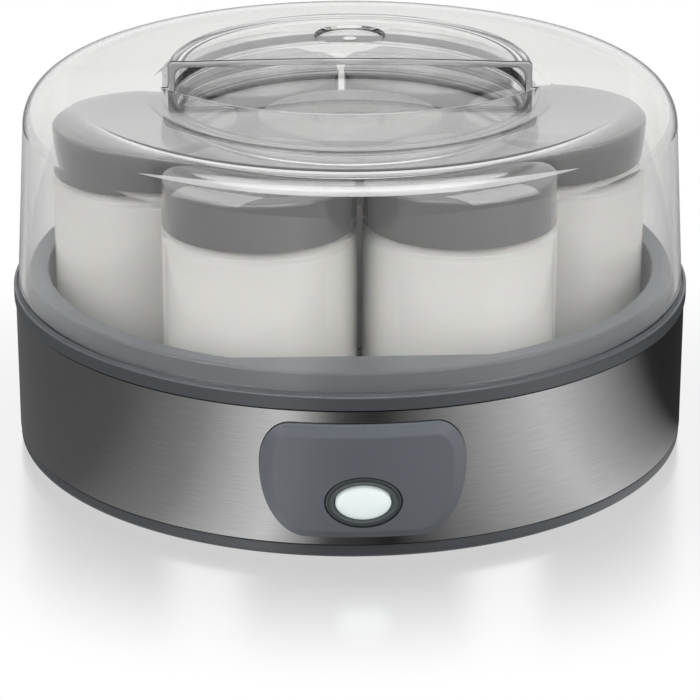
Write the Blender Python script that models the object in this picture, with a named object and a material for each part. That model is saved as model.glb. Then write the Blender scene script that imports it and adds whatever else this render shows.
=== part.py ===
"""Seven-jar yogurt maker: heated base, clear cover with a finger grip, glass jars with lids.

The origin is on the table at the middle of the base, the front panel faces -Y and +Z is up.
"""
import math

import bmesh
import bpy
from mathutils import Matrix, Vector

MM = 0.001

# Driving dimensions, in millimetres
RIM_RADIUS = 121.0
RING_RADIUS = 120.2
BAND_RADIUS = 120.4
BAND_THICKNESS = 0.6
BAND_BOTTOM = 6.4
BAND_TOP = 54.4
BASE_BOTTOM = 1.3
RIM_TOP = 59.6
COLLAR_RADIUS = 115.4
COLLAR_INNER_RADIUS = 108.3
COLLAR_TOP = 66.4
WELL_FLOOR = 35.4
WELL_RADIUS = 106.5
WELL_CHORD = 99.8
WALL = 2.0
GAP = 0.3
STEP = 0.1

JAR_PLACES = ((0.0, 0.0), (33.9, -60.2), (72.6, 0.0), (33.9, 60.2), (-33.9, 60.2), (-72.6, 0.0), (-33.9, -60.2))
JAR_TURN = 1.0
JAR_RADIUS = 33.2
JAR_WALL = 2.6
JAR_FLOOR = 4.2
JAR_MOUTH_WALL = 2.4
JAR_BOTTOM = WELL_FLOOR + GAP
JAR_SHOULDER = 99.4
JAR_NECK_RADIUS = 30.6
JAR_RIM = 115.2
YOGURT_TOP = 102.4
LID_RADIUS = 32.9
LID_BOTTOM = 100.6
LID_TOP = 117.4
LID_WALL = 1.4
JAR_NAMES = ("centre", "front_right", "right", "rear_right", "rear_left", "left", "front_left")

COVER_BOTTOM = 59.9
COVER_RADIUS = 119.4
COVER_WALL = 2.5
SHOULDER_RADIUS = 14.0
SHOULDER_CENTRE = (101.0, 118.4)
COVER_TURN = -2.0
PLATE_TOP = 128.6
GRIP_RADIUS = 64.5
GRIP_TOP = 138.2
GRIP_MOUTH = 29.7
CUP_BOTTOM = 118.9
CUP_WALL = 1.8

PANEL_FACE = 123.2
PANEL_BACK = 120.8
PANEL_WIDTH = 69.4
PANEL_BOTTOM = 9.7
PANEL_TOP = 50.0
BUTTON_HEIGHT = 22.1
PANEL_UPPER_CORNER = (10.5, 14.0)
PANEL_LOWER_CORNER = (16.0, 24.0)
BUTTON_HALF = (9.4, 5.9)
BEZEL_HEIGHT = 23.0
BEZEL_HALF = (12.7, 8.9)
BUTTON_FACE = 122.8
BUTTON_BACK = 113.0
BUTTON_CROWN = 0.6
STEM_CLEARANCE = 0.9
CUT_FRONT = 130.0
CUT_BACK = 112.0

INLET_HEIGHT = 20.4
INLET_BODY = (8.4, 11.0, 9.8)
INLET_OPENING = (9.0, 20.0, 10.4)
CORD_RADIUS = 2.6

PLATE_RADIUS = 88.0
PLATE_THICKNESS = 1.3
CORD_RING = (58.0, 29.4)
CORD_THICKNESS = 1.9
THERMOSTAT = (8.0, 21.4, 31.4)
FUSE_PLACE = (30.0, 29.2)
FUSE_RADIUS = 2.0
FUSE_HALF_LENGTH = 8.0
TERMINAL_SIZE = (30.0, 16.0, 12.0)
TERMINAL_PLACE = 84.0
SWITCH_SIZE = (18.0, 9.0, 9.0)
SWITCH_PLACE = -103.0
BOARD_SIZE = (30.0, 1.6, 18.0)
BOARD_PLACE = -97.2
BOARD_DROP = 2.0
LAMP_RADIUS = 1.4
LAMP_FRONT = 109.6
LAMP_BACK = 107.8
FOOT_RING = 100.0
FOOT_RADIUS = 9.0
SCREW_RING = 92.0
SCREW_RADIUS = 3.4
SCREW_BOTTOM = 0.4

BIG_STEPS = 64
JAR_STEPS = 20
SMALL_STEPS = 16
CORNER_STEPS = 6


def clearScene():
    for item in list(bpy.data.objects):
        bpy.data.objects.remove(item, do_unlink=True)


def plainMaterial(name, colour, roughness, metallic=0.0, alpha=1.0):
    material = bpy.data.materials.new(name)
    material.use_nodes = True
    shader = material.node_tree.nodes["Principled BSDF"]
    shader.inputs["Base Color"].default_value = (*colour, 1.0)
    shader.inputs["Roughness"].default_value = roughness
    shader.inputs["Metallic"].default_value = metallic
    shader.inputs["Alpha"].default_value = alpha
    return material


def finishObject(name, mesh, material):
    item = bpy.data.objects.new(name, mesh)
    bpy.context.collection.objects.link(item)
    mesh.shade_smooth()
    mesh.set_sharp_from_angle(angle=math.radians(35.0))
    if material is not None:
        mesh.materials.append(material)
    return item


def meshFrom(build, name):
    bmesh.ops.recalc_face_normals(build, faces=build.faces)
    mesh = bpy.data.meshes.new(name)
    build.to_mesh(mesh)
    build.free()
    return mesh


def arcPoints(centre, radius, start, end, count):
    """Points on an arc in any plane, with angles in degrees from the first direction to the second."""
    points = []
    for index in range(count + 1):
        angle = math.radians(start + (end - start) * index / count)
        points.append((centre[0] + radius * math.cos(angle), centre[1] + radius * math.sin(angle)))
    return points


def turnedSolid(name, outline, steps, material, closed=False, turn=0.0):
    """Spin a radius-height outline about the vertical axis; closed outlines make rings."""
    build = bmesh.new()
    verts = [build.verts.new((r * MM, 0.0, z * MM)) for r, z in outline]
    pairs = list(zip(verts, verts[1:]))
    if closed:
        pairs.append((verts[-1], verts[0]))
    edges = [build.edges.new(pair) for pair in pairs]
    bmesh.ops.rotate(build, verts=verts, matrix=Matrix.Rotation(math.radians(turn), 3, "Z"))
    bmesh.ops.spin(build, geom=verts + edges, cent=(0, 0, 0), axis=(0, 0, 1), dvec=(0, 0, 0),
                   angle=2.0 * math.pi, steps=steps, use_duplicate=False)
    bmesh.ops.remove_doubles(build, verts=build.verts, dist=0.000002)
    return finishObject(name, meshFrom(build, name), material)


def boxSolid(name, size, centre, material):
    build = bmesh.new()
    bmesh.ops.create_cube(build, size=1.0)
    bmesh.ops.scale(build, verts=build.verts, vec=Vector(size) * MM)
    bmesh.ops.translate(build, verts=build.verts, vec=Vector(centre) * MM)
    return finishObject(name, meshFrom(build, name), material)


def ovalPrism(name, half, front, back, height, material, steps=SMALL_STEPS * 2):
    """An oval bar along Y, from y = -front to y = -back, centred at x = 0 and the given height."""
    build = bmesh.new()
    depth = front - back
    bmesh.ops.create_cone(build, cap_ends=True, segments=steps, radius1=1.0, radius2=1.0, depth=depth * MM)
    bmesh.ops.scale(build, verts=build.verts, vec=(half[0] * MM, half[1] * MM, 1.0))
    bmesh.ops.rotate(build, verts=build.verts, matrix=Matrix.Rotation(math.radians(90.0), 3, "X"))
    middle = -(front + back) / 2.0
    bmesh.ops.translate(build, verts=build.verts, vec=(0.0, middle * MM, height * MM))
    return finishObject(name, meshFrom(build, name), material)


def plateFromOutline(name, outline, bottom, top, material):
    """A flat plate with the given plan outline, in millimetres."""
    build = bmesh.new()
    verts = [build.verts.new((x * MM, y * MM, bottom * MM)) for x, y in outline]
    face = build.faces.new(verts)
    lifted = bmesh.ops.extrude_face_region(build, geom=[face])
    moved = [item for item in lifted["geom"] if isinstance(item, bmesh.types.BMVert)]
    bmesh.ops.translate(build, verts=moved, vec=(0.0, 0.0, (top - bottom) * MM))
    return finishObject(name, meshFrom(build, name), material)


def moveMesh(item, x=0.0, y=0.0, z=0.0):
    item.data.transform(Matrix.Translation((x * MM, y * MM, z * MM)))


def useBoolean(item, cutter, operation="DIFFERENCE"):
    """Apply an exact Boolean and remove the tool object."""
    modifier = item.modifiers.new(operation.lower(), "BOOLEAN")
    modifier.operation = operation
    modifier.solver = "EXACT"
    modifier.object = cutter
    graph = bpy.context.evaluated_depsgraph_get()
    result = bpy.data.meshes.new_from_object(item.evaluated_get(graph))
    item.modifiers.clear()
    item.data = result
    bpy.data.objects.remove(cutter, do_unlink=True)


def jarCentres():
    """The centre jar, then the six around it from the front right, the whole set turned a little."""
    turn = Matrix.Rotation(math.radians(JAR_TURN), 2)
    return [tuple(turn @ Vector(place)) for place in JAR_PLACES]


def baseShell(material):
    """The floor, the visible foot ring and the wall that the steel band is wrapped round."""
    wall = BAND_RADIUS - BAND_THICKNESS - GAP
    outline = [
        (0.0, BASE_BOTTOM),
        (RING_RADIUS - 2.2, BASE_BOTTOM),
        (RING_RADIUS, BASE_BOTTOM + 1.4),
        (RING_RADIUS, BAND_BOTTOM - GAP),
        (wall, BAND_BOTTOM - GAP),
        (wall, BAND_TOP - GAP),
        (wall - WALL, BAND_TOP - GAP),
        (wall - WALL, BASE_BOTTOM + WALL),
        (0.0, BASE_BOTTOM + WALL),
    ]
    item = turnedSolid("base_shell", outline, BIG_STEPS, material)
    useBoolean(item, stemCutter())
    useBoolean(item, inletCutter())
    return item


def stemCutter():
    half = (BUTTON_HALF[0] + STEM_CLEARANCE, BUTTON_HALF[1] + STEM_CLEARANCE)
    return ovalPrism("stem_cutter", half, CUT_FRONT, CUT_BACK, BUTTON_HEIGHT, None)


def inletCutter():
    return boxSolid("inlet_cutter", INLET_OPENING, (0.0, BAND_RADIUS, INLET_HEIGHT), None)


def steelBand(material):
    outline = [
        (BAND_RADIUS, BAND_TOP),
        (BAND_RADIUS, BAND_BOTTOM),
        (BAND_RADIUS - BAND_THICKNESS, BAND_BOTTOM),
        (BAND_RADIUS - BAND_THICKNESS, BAND_TOP),
    ]
    item = turnedSolid("steel_band", outline, BIG_STEPS, material, closed=True)
    useBoolean(item, stemCutter())
    useBoolean(item, inletCutter())
    return item


def chordBlock():
    """The part of the well in front of its straight front wall, where the switch is housed."""
    reach = WALL / 2.0
    outline = [
        (0.0, WELL_FLOOR - reach),
        (WELL_RADIUS + reach, WELL_FLOOR - reach),
        (COLLAR_INNER_RADIUS + reach, COLLAR_TOP - STEP),
        (0.0, COLLAR_TOP - STEP),
    ]
    item = turnedSolid("chord_block", outline, BIG_STEPS, None)
    depth = COLLAR_RADIUS - WELL_CHORD
    size = (2.0 * COLLAR_RADIUS, depth, 2.0 * COLLAR_TOP)
    centre = (0.0, -WELL_CHORD - depth / 2.0, COLLAR_TOP)
    useBoolean(item, boxSolid("front_block", size, centre, None), "INTERSECT")
    return item


def topHousing(material):
    """The well floor and wall, the collar inside the cover, and the rim above the band."""
    outline = [
        (0.0, WELL_FLOOR),
        (WELL_RADIUS, WELL_FLOOR),
        (COLLAR_INNER_RADIUS, COLLAR_TOP - 0.8),
        (COLLAR_INNER_RADIUS + 0.8, COLLAR_TOP),
        (COLLAR_RADIUS - 0.8, COLLAR_TOP),
        (COLLAR_RADIUS, COLLAR_TOP - 0.8),
        (COLLAR_RADIUS, RIM_TOP),
        (RIM_RADIUS - 1.2, RIM_TOP),
        (RIM_RADIUS, RIM_TOP - 1.2),
        (RIM_RADIUS, BAND_TOP + GAP),
        (COLLAR_RADIUS - 3.0, BAND_TOP + GAP),
        (WELL_RADIUS + WALL, WELL_FLOOR - WALL),
        (0.0, WELL_FLOOR - WALL),
    ]
    item = turnedSolid("top_housing", outline, BIG_STEPS, material)
    useBoolean(item, chordBlock(), "UNION")
    return item


def cornerPoints(across, up, size, start):
    """A quarter oval corner whose outer square corner is at (across, up)."""
    middle = (across - math.copysign(size[0], across), up - math.copysign(size[1], up - BUTTON_HEIGHT))
    quarter = arcPoints((0.0, 0.0), 1.0, start, start - 90.0, CORNER_STEPS)
    return [(middle[0] + x * size[0], middle[1] + z * size[1]) for x, z in quarter]


def panelBlock():
    """A prism along Y with the panel's outline."""
    half = PANEL_WIDTH / 2.0
    outline = cornerPoints(half, PANEL_TOP, PANEL_UPPER_CORNER, 90.0)
    outline += cornerPoints(half, PANEL_BOTTOM, PANEL_LOWER_CORNER, 0.0)
    outline += cornerPoints(-half, PANEL_BOTTOM, PANEL_LOWER_CORNER, -90.0)
    outline += cornerPoints(-half, PANEL_TOP, PANEL_UPPER_CORNER, 180.0)
    item = plateFromOutline("panel_block", outline, CUT_BACK, CUT_FRONT, None)
    item.data.transform(Matrix.Rotation(math.radians(90.0), 4, "X"))
    return item


def frontPanel(material):
    """A curved plaque with rounded corners, hugging the band, with an oval hole for the button."""
    outline = [
        (PANEL_FACE, PANEL_TOP + WALL),
        (PANEL_FACE, PANEL_BOTTOM - WALL),
        (PANEL_BACK, PANEL_BOTTOM - WALL),
        (PANEL_BACK, PANEL_TOP + WALL),
    ]
    item = turnedSolid("front_panel", outline, BIG_STEPS, material, closed=True)
    useBoolean(item, panelBlock(), "INTERSECT")
    half = (BEZEL_HALF[0] + GAP, BEZEL_HALF[1] + GAP)
    useBoolean(item, ovalPrism("hole", half, CUT_FRONT, CUT_BACK, BEZEL_HEIGHT, None))
    return item


def bezelRing(material):
    item = ovalPrism("bezel_ring", BEZEL_HALF, PANEL_FACE, PANEL_BACK, BEZEL_HEIGHT, material)
    inner = (BUTTON_HALF[0] + GAP, BUTTON_HALF[1] + GAP)
    useBoolean(item, ovalPrism("hole", inner, CUT_FRONT, CUT_BACK, BUTTON_HEIGHT, None))
    return item


def pushButton(material):
    item = ovalPrism("push_button", BUTTON_HALF, BUTTON_FACE - BUTTON_CROWN, BUTTON_BACK, BUTTON_HEIGHT, material)
    half = (BUTTON_HALF[0] - 2.0 * BUTTON_CROWN, BUTTON_HALF[1] - 2.0 * BUTTON_CROWN)
    crown = ovalPrism("crown", half, BUTTON_FACE, BUTTON_FACE - WALL, BUTTON_HEIGHT, None)
    useBoolean(item, crown, "UNION")
    return item


def cordInlet(material):
    """The gland in the rear wall that the mains cord would leave by."""
    centre = (0.0, PANEL_FACE - INLET_BODY[1] / 2.0, INLET_HEIGHT)
    item = boxSolid("cord_inlet", INLET_BODY, centre, material)
    half = (CORD_RADIUS, CORD_RADIUS)
    useBoolean(item, ovalPrism("hole", half, -FOOT_RING, -CUT_FRONT, INLET_HEIGHT, None, SMALL_STEPS))
    return item


def disc(name, radius, bottom, top, place, material, steps=JAR_STEPS):
    outline = [(0.0, bottom), (radius, bottom), (radius, top), (0.0, top)]
    item = turnedSolid(name, outline, steps, material)
    moveMesh(item, place[0], place[1])
    return item


def heaterParts(metal, cord, dark, pale):
    """The warming plate under the well with its cord, thermostat, fuse and mains terminals."""
    under = WELL_FLOOR - WALL - GAP
    disc("heater_plate", PLATE_RADIUS, under - PLATE_THICKNESS, under, (0.0, 0.0), metal, JAR_STEPS * 2)
    ring = arcPoints(CORD_RING, CORD_THICKNESS, 0.0, 315.0, 7)
    turnedSolid("heating_cord", ring, JAR_STEPS * 2, cord, closed=True)
    radius, bottom, top = THERMOSTAT
    disc("thermostat", radius, bottom, top, (0.0, 0.0), dark)
    half = (FUSE_RADIUS, FUSE_RADIUS)
    fuse = ovalPrism("thermal_fuse", half, FUSE_HALF_LENGTH, -FUSE_HALF_LENGTH, FUSE_PLACE[1], pale, SMALL_STEPS)
    moveMesh(fuse, FUSE_PLACE[0], 0.0)
    height = BASE_BOTTOM + WALL + GAP + TERMINAL_SIZE[2] / 2.0
    boxSolid("terminal_block", TERMINAL_SIZE, (0.0, TERMINAL_PLACE, height), pale)


def switchParts(dark, board, lamp):
    """The switch behind the button, the board behind it and the lamp that lights the button."""
    boxSolid("switch_body", SWITCH_SIZE, (0.0, SWITCH_PLACE, BUTTON_HEIGHT), dark)
    boxSolid("lamp_board", BOARD_SIZE, (0.0, BOARD_PLACE, BUTTON_HEIGHT - BOARD_DROP), board)
    half = (LAMP_RADIUS, LAMP_RADIUS)
    ovalPrism("indicator_lamp", half, LAMP_FRONT, LAMP_BACK, BUTTON_HEIGHT, lamp, SMALL_STEPS)


def ringPlace(radius, angle):
    return (radius * math.cos(math.radians(angle)), radius * math.sin(math.radians(angle)))


def feetAndScrews(rubber, steel):
    for index in range(4):
        name = "foot_%d" % (index + 1)
        disc(name, FOOT_RADIUS, 0.0, BASE_BOTTOM - GAP, ringPlace(FOOT_RING, 45.0 + 90.0 * index), rubber)
    for index in range(4):
        name = "screw_%d" % (index + 1)
        place = ringPlace(SCREW_RING, 90.0 * index)
        disc(name, SCREW_RADIUS, SCREW_BOTTOM, BASE_BOTTOM - GAP, place, steel, SMALL_STEPS)


def jar(name, place, material):
    inner = JAR_RADIUS - JAR_WALL
    mouth = JAR_NECK_RADIUS - JAR_MOUTH_WALL
    outline = [
        (0.0, JAR_BOTTOM + 1.2),
        (JAR_RADIUS - 5.0, JAR_BOTTOM + 1.2),
        (JAR_RADIUS - 4.0, JAR_BOTTOM),
        (JAR_RADIUS - 2.4, JAR_BOTTOM),
        (JAR_RADIUS, JAR_BOTTOM + 3.0),
        (JAR_RADIUS, JAR_SHOULDER - 1.6),
        (JAR_NECK_RADIUS, JAR_SHOULDER),
        (JAR_NECK_RADIUS, JAR_RIM),
        (mouth, JAR_RIM),
        (mouth, JAR_SHOULDER),
        (inner, JAR_SHOULDER - 4.0),
        (inner, JAR_BOTTOM + JAR_FLOOR + 2.8),
        (inner - 4.0, JAR_BOTTOM + JAR_FLOOR),
        (0.0, JAR_BOTTOM + JAR_FLOOR),
    ]
    item = turnedSolid(name, outline, JAR_STEPS, material)
    moveMesh(item, place[0], place[1])


def yogurt(name, place, material):
    radius = JAR_RADIUS - JAR_WALL - GAP
    neck = JAR_NECK_RADIUS - JAR_MOUTH_WALL - GAP
    bottom = JAR_BOTTOM + JAR_FLOOR + GAP
    outline = [
        (0.0, bottom),
        (radius - 4.0, bottom),
        (radius, bottom + 2.7),
        (radius, JAR_SHOULDER - 4.4),
        (neck, JAR_SHOULDER - 0.2),
        (neck, YOGURT_TOP),
        (0.0, YOGURT_TOP),
    ]
    item = turnedSolid(name, outline, JAR_STEPS, material)
    moveMesh(item, place[0], place[1])


def jarLid(name, place, material):
    outline = [
        (0.0, LID_TOP),
        (LID_RADIUS - 1.5, LID_TOP),
        (LID_RADIUS, LID_TOP - 1.5),
        (LID_RADIUS, LID_BOTTOM),
        (LID_RADIUS - LID_WALL, LID_BOTTOM),
        (LID_RADIUS - LID_WALL, LID_TOP - 1.8),
        (0.0, LID_TOP - 1.8),
    ]
    item = turnedSolid(name, outline, JAR_STEPS, material)
    moveMesh(item, place[0], place[1])


def coverOutline():
    """From the top of the grip down the outside to the rim, then back up the inside to the axis."""
    low = SHOULDER_CENTRE[0] + SHOULDER_RADIUS
    top = SHOULDER_CENTRE[1] + SHOULDER_RADIUS
    outer = [(COVER_RADIUS, COVER_BOTTOM), (low, SHOULDER_CENTRE[1])]
    outer += arcPoints(SHOULDER_CENTRE, SHOULDER_RADIUS, 0.0, 90.0, 5)[1:]
    outer += [(GRIP_RADIUS + 3.0, PLATE_TOP), (GRIP_RADIUS, PLATE_TOP)]
    outer += [(GRIP_RADIUS, GRIP_TOP - 1.0), (GRIP_RADIUS - 1.0, GRIP_TOP), (0.0, GRIP_TOP)]
    inside = GRIP_RADIUS - COVER_WALL
    inner = [(0.0, GRIP_TOP - COVER_WALL), (inside, GRIP_TOP - COVER_WALL)]
    inner += [(inside, PLATE_TOP - COVER_WALL), (GRIP_RADIUS + 3.0, PLATE_TOP - COVER_WALL)]
    inner += [(SHOULDER_CENTRE[0], top - COVER_WALL)]
    inner += arcPoints(SHOULDER_CENTRE, SHOULDER_RADIUS - COVER_WALL, 90.0, 0.0, 4)[1:]
    inner += [(COVER_RADIUS - COVER_WALL, COVER_BOTTOM)]
    return outer[::-1] + inner[::-1]


def mouthPlate():
    """The crescent of top plate in front of the finger mouth, between the grip ring and the mouth's edge."""
    radius = GRIP_RADIUS - 1.0
    swing = (radius ** 2 + GRIP_MOUTH ** 2) / (2.0 * GRIP_MOUTH)
    half = math.degrees(math.asin(radius / swing))
    outline = arcPoints((0.0, 0.0), radius, 180.0, 360.0, 16)
    outline += arcPoints((0.0, swing - GRIP_MOUTH), swing, 270.0 + half, 270.0 - half, 12)[1:-1]
    return plateFromOutline("mouth_plate", outline, PLATE_TOP - COVER_WALL + STEP, PLATE_TOP - 2.0 * STEP, None)


def coverShell(material):
    outline = coverOutline()
    item = turnedSolid("cover_shell", outline, BIG_STEPS, material)
    half = arcPoints((0.0, 0.0), GRIP_RADIUS + 1.0, 180.0, 360.0, 24)
    useBoolean(item, plateFromOutline("front_cutter", half, PLATE_TOP - STEP, GRIP_TOP + 4.0, None))
    useBoolean(item, mouthPlate(), "UNION")
    item.data.transform(Matrix.Rotation(math.radians(COVER_TURN), 4, "Z"))
    return item


def gripCup(material):
    """The shallow clear cup under the grip that closes the finger pocket."""
    top = PLATE_TOP - COVER_WALL - GAP
    outline = [
        (0.0, CUP_BOTTOM),
        (GRIP_RADIUS - 2.0, CUP_BOTTOM),
        (GRIP_RADIUS - 0.6, CUP_BOTTOM + 0.6),
        (GRIP_RADIUS, CUP_BOTTOM + 2.0),
        (GRIP_RADIUS, top - 1.4),
        (GRIP_RADIUS + 2.4, top - 1.4),
        (GRIP_RADIUS + 2.4, top),
        (GRIP_RADIUS - CUP_WALL, top),
        (GRIP_RADIUS - CUP_WALL, CUP_BOTTOM + CUP_WALL + 1.0),
        (GRIP_RADIUS - CUP_WALL - 1.0, CUP_BOTTOM + CUP_WALL),
        (0.0, CUP_BOTTOM + CUP_WALL),
    ]
    item = turnedSolid("grip_cup", outline, 48, material)
    item.data.transform(Matrix.Rotation(math.radians(COVER_TURN), 4, "Z"))
    return item


def buildAll():
    clearScene()
    plastic = plainMaterial("blue_grey_plastic", (0.13, 0.15, 0.17), 0.35)
    steel = plainMaterial("brushed_steel", (0.45, 0.45, 0.45), 0.3, 1.0)
    lidGrey = plainMaterial("lid_plastic", (0.2, 0.2, 0.2), 0.2)
    glass = plainMaterial("jar_glass", (0.9, 0.95, 0.93), 0.05, 0.0, 0.35)
    clear = plainMaterial("clear_plastic", (0.8, 0.82, 0.83), 0.05, 0.0, 0.3)
    white = plainMaterial("yogurt_white", (0.85, 0.85, 0.82), 0.5)
    lens = plainMaterial("button_white", (0.9, 0.9, 0.9), 0.3)
    rubber = plainMaterial("foot_rubber", (0.03, 0.03, 0.03), 0.8)
    metal = plainMaterial("heater_aluminium", (0.75, 0.75, 0.76), 0.4, 1.0)
    cord = plainMaterial("heater_cord", (0.6, 0.55, 0.45), 0.7)
    board = plainMaterial("board_green", (0.05, 0.2, 0.1), 0.5)
    dark = plainMaterial("dark_plastic", (0.04, 0.04, 0.04), 0.5)
    baseShell(plastic)
    steelBand(steel)
    topHousing(plastic)
    frontPanel(plastic)
    bezelRing(plastic)
    pushButton(lens)
    cordInlet(dark)
    heaterParts(metal, cord, dark, white)
    switchParts(dark, board, lens)
    feetAndScrews(rubber, steel)
    for name, place in zip(JAR_NAMES, jarCentres()):
        jar("jar_" + name, place, glass)
        yogurt("yogurt_" + name, place, white)
        jarLid("lid_" + name, place, lidGrey)
    coverShell(clear)
    gripCup(clear)


buildAll()
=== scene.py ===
import math
import bmesh
import bpy
from mathutils import Matrix, Vector


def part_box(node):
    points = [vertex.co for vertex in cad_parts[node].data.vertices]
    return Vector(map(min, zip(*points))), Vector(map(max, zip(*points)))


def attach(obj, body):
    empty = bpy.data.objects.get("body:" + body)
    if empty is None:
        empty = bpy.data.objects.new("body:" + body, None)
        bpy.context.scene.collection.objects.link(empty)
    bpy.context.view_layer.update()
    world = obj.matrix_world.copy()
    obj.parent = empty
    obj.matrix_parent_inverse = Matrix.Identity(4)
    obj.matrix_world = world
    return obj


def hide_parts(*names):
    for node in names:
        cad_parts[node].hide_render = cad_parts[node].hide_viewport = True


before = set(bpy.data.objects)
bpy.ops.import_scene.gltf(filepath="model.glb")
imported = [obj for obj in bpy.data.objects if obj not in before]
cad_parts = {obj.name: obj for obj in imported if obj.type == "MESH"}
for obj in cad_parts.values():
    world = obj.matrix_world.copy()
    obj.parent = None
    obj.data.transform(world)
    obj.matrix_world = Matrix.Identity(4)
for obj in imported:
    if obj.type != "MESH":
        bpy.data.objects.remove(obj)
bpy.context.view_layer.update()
mm = 0.001
mergeGap = 0.003 * mm
jarNames = ["centre", "front_right", "right", "rear_right", "rear_left", "left", "front_left"]


# Sizes that every piece starts from, read off the frame in millimetres

def nodeBox(node):
    low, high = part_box(node)
    return low / mm, high / mm


def nodeRadius(node):
    low, high = nodeBox(node)
    return (high.x - low.x) / 2.0


housingHigh = nodeBox("top_housing")[1]
bandLow, bandHigh = nodeBox("steel_band")
baseLow, baseHigh = nodeBox("base_shell")
coverLow, coverHigh = nodeBox("cover_shell")
cupLow, cupHigh = nodeBox("grip_cup")
panelLow, panelHigh = nodeBox("front_panel")
buttonLow, buttonHigh = nodeBox("push_button")
inletLow, inletHigh = nodeBox("cord_inlet")


# Outlines

def softened(corners, steps=6, closed=False):
    # corners are (across, up, fillet); returns the outline with each corner rounded
    outline = []
    count = len(corners)
    for index, (across, up, fillet) in enumerate(corners):
        here = Vector((across, up))
        isEnd = not closed and index in (0, count - 1)
        if fillet == 0 or isEnd:
            outline.append((here.x, here.y))
            continue
        before = Vector(corners[index - 1][:2]) - here
        after = Vector(corners[(index + 1) % count][:2]) - here
        half = before.angle(after) / 2.0
        reach = min(fillet / math.tan(half), before.length * 0.49, after.length * 0.49)
        radius = reach * math.tan(half)
        centre = here + (before.normalized() + after.normalized()).normalized() * radius / math.sin(half)
        start = here + before.normalized() * reach - centre
        sweep = start.angle_signed(here + after.normalized() * reach - centre)
        for step in range(steps + 1):
            turned = Matrix.Rotation(-sweep * step / steps, 2) @ start
            outline.append((centre.x + turned.x, centre.y + turned.y))
    return outline


def evenly(outline, count):
    # a closed outline walked in equal steps
    loop = [Vector(point) for point in outline]
    lengths = [(loop[(i + 1) % len(loop)] - loop[i]).length for i in range(len(loop))]
    total = sum(lengths)
    walked = []
    index = 0
    passed = 0.0
    for step in range(count):
        wanted = total * step / count
        while passed + lengths[index] < wanted:
            passed += lengths[index]
            index += 1
        share = (wanted - passed) / lengths[index]
        walked.append(loop[index].lerp(loop[(index + 1) % len(loop)], share))
    return walked


def oval(across, up, count, centre=(0.0, 0.0)):
    points = []
    for index in range(count):
        angle = math.pi / 2.0 - 2.0 * math.pi * index / count
        points.append(Vector((centre[0] + across * math.cos(angle), centre[1] + up * math.sin(angle))))
    return points


# Meshes

def spun(outline, steps, centre=(0.0, 0.0)):
    # turns a (radius, height) outline about an upright axis; an outline off the axis is closed into a ring
    build = bmesh.new()
    points = [build.verts.new((radius * mm, 0.0, height * mm)) for radius, height in outline]
    lines = [build.edges.new(pair) for pair in zip(points, points[1:])]
    if outline[0][0] > 0.0 and outline[-1][0] > 0.0:
        lines.append(build.edges.new((points[-1], points[0])))
    bmesh.ops.spin(build, geom=points + lines, cent=(0, 0, 0), axis=(0, 0, 1), dvec=(0, 0, 0),
                   angle=2.0 * math.pi, steps=steps, use_merge=True, use_duplicate=False)
    bmesh.ops.remove_doubles(build, verts=build.verts, dist=mergeGap)
    bmesh.ops.recalc_face_normals(build, faces=build.faces)
    bmesh.ops.translate(build, verts=build.verts, vec=(centre[0] * mm, centre[1] * mm, 0.0))
    return build


def lofted(rings, closed=False):
    # rings are equal lists of places in millimetres, joined one to the next
    build = bmesh.new()
    loops = []
    for ring in rings:
        points = [build.verts.new(Vector(place) * mm) for place in ring]
        loops.append([build.edges.new((points[i - 1], points[i])) for i in range(len(points))])
    pairs = list(zip(loops, loops[1:]))
    if closed:
        pairs.append((loops[-1], loops[0]))
    for first, second in pairs:
        bmesh.ops.bridge_loops(build, edges=first + second)
    if not closed:
        bmesh.ops.holes_fill(build, edges=build.edges, sides=0)
    bmesh.ops.recalc_face_normals(build, faces=build.faces)
    return build


def pieceFrom(name, build, material, body, nodes, sharp=40.0):
    mesh = bpy.data.meshes.new(name)
    build.to_mesh(mesh)
    build.free()
    piece = bpy.data.objects.new(name, mesh)
    bpy.context.collection.objects.link(piece)
    mesh.shade_smooth()
    mesh.set_sharp_from_angle(angle=math.radians(sharp))
    mesh.materials.append(material)
    even = piece.modifiers.new("evenShading", "WEIGHTED_NORMAL")
    even.keep_sharp = True
    even.weight = 80
    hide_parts(*nodes)
    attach(piece, body)
    return piece


def settled(piece, kind, values):
    # applies one modifier under the even shading that stays on the piece
    even = piece.modifiers["evenShading"]
    even.show_viewport = False
    change = piece.modifiers.new("change", kind)
    for key, value in values.items():
        setattr(change, key, value)
    graph = bpy.context.evaluated_depsgraph_get()
    result = bpy.data.meshes.new_from_object(piece.evaluated_get(graph))
    piece.modifiers.remove(change)
    even.show_viewport = True
    piece.data = result


def carve(piece, build, operation="DIFFERENCE"):
    mesh = bpy.data.meshes.new("tool")
    build.to_mesh(mesh)
    build.free()
    tool = bpy.data.objects.new("tool", mesh)
    bpy.context.collection.objects.link(tool)
    settled(piece, "BOOLEAN", {"operation": operation, "solver": "EXACT", "object": tool})
    bpy.data.objects.remove(tool, do_unlink=True)
    bpy.data.meshes.remove(mesh)


def resharpen(piece, sharp):
    piece.data.shade_smooth()
    piece.data.set_sharp_from_angle(angle=math.radians(sharp))


# Node helpers

def addNode(tree, kind, **values):
    node = tree.nodes.new(kind)
    for key, value in values.items():
        if key in node.inputs:
            node.inputs[key].default_value = value
        else:
            setattr(node, key, value)
    return node


def ramp(tree, stops):
    node = tree.nodes.new("ShaderNodeValToRGB")
    marks = node.color_ramp.elements
    while len(marks) < len(stops):
        marks.new(0.5)
    for mark, (place, colour) in zip(marks, stops):
        mark.position = place
        mark.color = (*colour, 1.0)
    return node


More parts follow.
